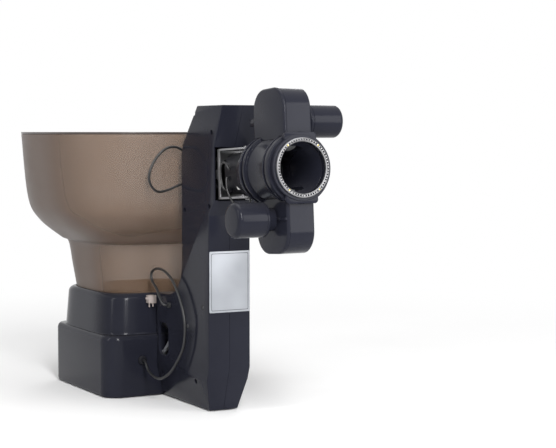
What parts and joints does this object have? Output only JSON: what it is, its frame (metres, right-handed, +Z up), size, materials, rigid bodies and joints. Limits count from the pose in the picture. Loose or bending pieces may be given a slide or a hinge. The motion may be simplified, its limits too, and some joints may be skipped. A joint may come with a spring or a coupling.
{
  "type": "table tennis robot",
  "caption": "Table tennis robot with a smoky ball hopper on a feed tub, a dark front column and a throwing head that tilts, swings and rolls",
  "frame": {"origin": "bottom centre of the bounding box, on the floor", "axes": "+Z up, the head throws towards -Y, +X is to the left of the throw"},
  "size_m": [0.282, 0.5338, 0.3553],
  "materials": {
    "black_shell_plastic": "dark charcoal moulded plastic with a soft sheen",
    "dark_satin_plastic": "dark satin moulded plastic",
    "inner_plastic": "dark grey plain moulding",
    "smoke_hopper_plastic": "smoky see-through plastic",
    "silver_plate": "satin silver sheet",
    "bracket_steel": "plain plated sheet steel",
    "black_rubber": "dull black rubber",
    "grey_tyre_rubber": "grey grippy foam rubber",
    "green_board": "green circuit board",
    "ivory_connector": "ivory nylon",
    "cable_jacket": "black cable jacket"
  },
  "bodies": {
    "root": {"column_shell_right": "black_shell_plastic", "column_shell_left": "black_shell_plastic", "toe_pad": "black_rubber", "label_plate": "silver_plate", "feed_duct": "inner_plastic", "riser_tube": "inner_plastic", "base_housing": "black_shell_plastic", "base_plate": "inner_plastic", "base_foot": "black_rubber", "feed_tub": "black_shell_plastic", "feed_funnel": "inner_plastic", "hopper_bowl": "smoke_hopper_plastic", "feed_gearbox": "bracket_steel", "feed_motor": "bracket_steel", "control_board": "green_board", "board_heatsink": "bracket_steel", "switch_bezel": "dark_satin_plastic", "power_inlet": "dark_satin_plastic", "control_socket": "dark_satin_plastic", "lead_socket": "dark_satin_plastic", "port_plug": "inner_plastic", "connector_block": "ivory_connector", "cable_clip": "inner_plastic", "upper_bush_in": "black_rubber", "upper_bush_out": "black_rubber", "lower_bush": "black_rubber", "lower_cable": "cable_jacket", "upper_cable": "cable_jacket", "port_cable": "cable_jacket"},
    "agitator_rotor": {"agitator": "inner_plastic", "feed_shaft": "bracket_steel"},
    "switch_rocker": {"power_switch": "dark_satin_plastic"},
    "tilt_frame": {"tilt_bracket": "bracket_steel", "tilt_pin_right": "bracket_steel", "tilt_pin_left": "bracket_steel", "upper_swing_pin": "bracket_steel", "lower_swing_pin": "bracket_steel"},
    "swing_hub": {"hub_tube": "dark_satin_plastic", "hub_lead": "cable_jacket", "motor_lead": "cable_jacket"},
    "roll_head": {"head_drum": "black_shell_plastic", "muzzle_plate": "black_shell_plastic", "dial_ring": "silver_plate", "upper_wheel_housing": "black_shell_plastic", "upper_wheel_cover": "black_shell_plastic", "upper_motor_cover": "black_shell_plastic", "upper_motor": "bracket_steel", "lower_wheel_housing": "black_shell_plastic", "lower_wheel_cover": "black_shell_plastic", "lower_motor_cover": "black_shell_plastic", "lower_motor": "bracket_steel"},
    "upper_spinner": {"upper_wheel": "dark_satin_plastic", "upper_tyre": "grey_tyre_rubber", "upper_axle": "bracket_steel"},
    "lower_spinner": {"lower_wheel": "dark_satin_plastic", "lower_tyre": "grey_tyre_rubber", "lower_axle": "bracket_steel"}
  },
  "joints": [
    {"name": "agitator_turn", "type": "hinge", "parent": "root", "child": "agitator_rotor", "pos_m": [0, 0.12594, 0.0863], "axis": [0, 0, 1], "continuous": true},
    {"name": "switch_rock", "type": "hinge", "parent": "root", "child": "switch_rocker", "pos_m": [-0.032, 0.21194, 0.036], "axis": [1, 0, 0], "range_deg": [-14, 0]},
    {"name": "head_tilt", "type": "hinge", "parent": "root", "child": "tilt_frame", "pos_m": [0, -0.10908, 0.26377], "axis": [1, 0, 0], "range_deg": [-12, 12]},
    {"name": "head_swing", "type": "hinge", "parent": "tilt_frame", "child": "swing_hub", "pos_m": [0, -0.14599, 0.26635], "axis": [0, 0.0698, 0.9976], "range_deg": [-15, 15]},
    {"name": "head_roll", "type": "hinge", "parent": "swing_hub", "child": "roll_head", "pos_m": [0, -0.17791, 0.26859], "axis": [0, -0.9976, 0.0698], "range_deg": [-90, 90]},
    {"name": "upper_wheel_spin", "type": "hinge", "parent": "roll_head", "child": "upper_spinner", "pos_m": [0, -0.21935, 0.3211], "axis": [1, 0, 0], "continuous": true},
    {"name": "lower_wheel_spin", "type": "hinge", "parent": "roll_head", "child": "lower_spinner", "pos_m": [0, -0.22635, 0.22105], "axis": [1, 0, 0], "continuous": true}
  ]
}
